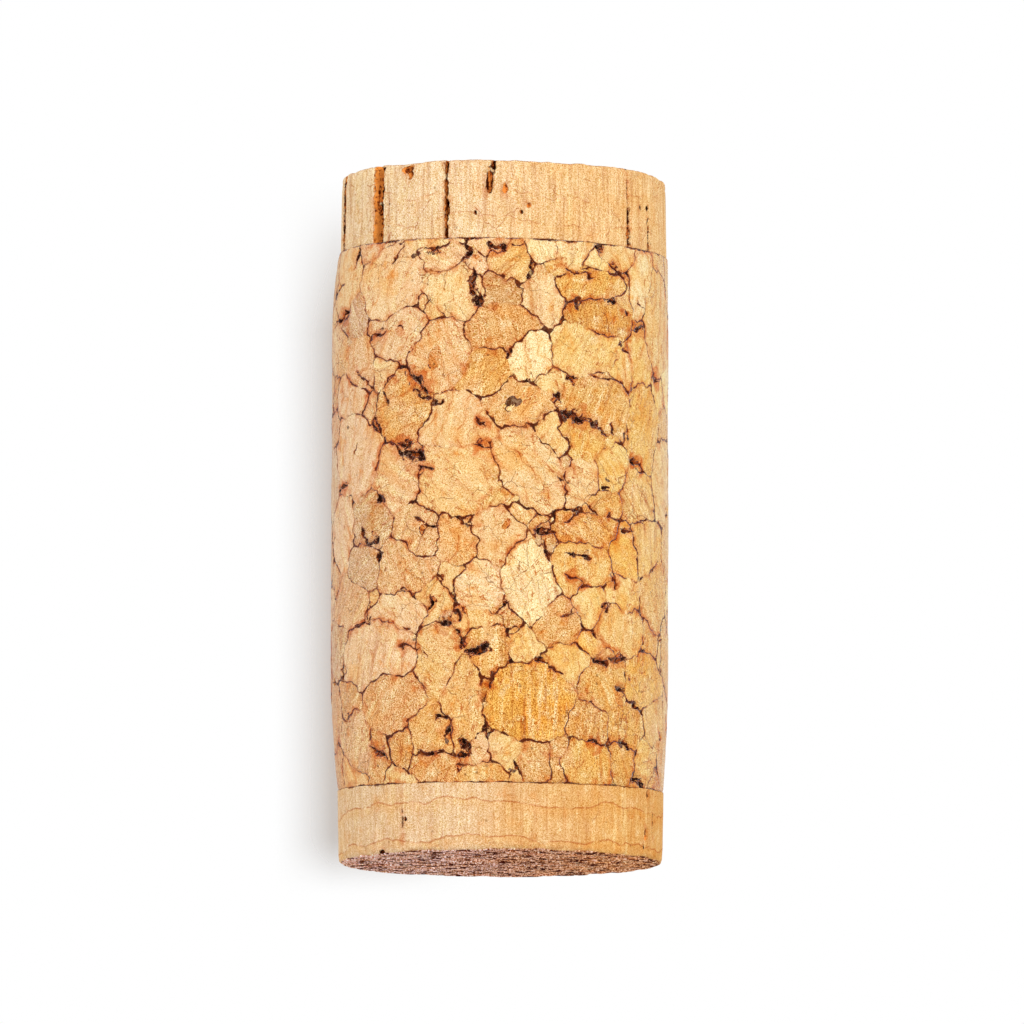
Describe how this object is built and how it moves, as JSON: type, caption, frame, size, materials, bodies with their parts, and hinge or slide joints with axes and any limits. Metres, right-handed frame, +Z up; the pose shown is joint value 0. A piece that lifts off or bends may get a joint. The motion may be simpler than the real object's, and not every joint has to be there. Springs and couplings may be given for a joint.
{
  "type": "cork stopper",
  "caption": "Cylindrical cork stopper for a bottle neck: a pressed granule body with natural cork discs glued on its ends.",
  "frame": {"origin": "centre of the lower end face, on which the stopper stands", "axes": "+Z up along the stopper's axis, towards the disc with the open channels; -Y is the front"},
  "size_m": [0.024, 0.024, 0.049],
  "materials": {
    "natural_cork_bottom": "bare matte natural cork, tan, with faint growth rings across it and a rough brown end face",
    "pressed_granules": "sanded matte pressed cork granules, cream to tan, with thin dark brown lines between them",
    "natural_cork_top": "bare matte natural cork, cream, with orange-brown lenticel channels down its side"
  },
  "bodies": {
    "root": {"bottom_disc": "natural_cork_bottom", "granule_body": "pressed_granules", "top_disc": "natural_cork_top"}
  },
  "joints": []
}
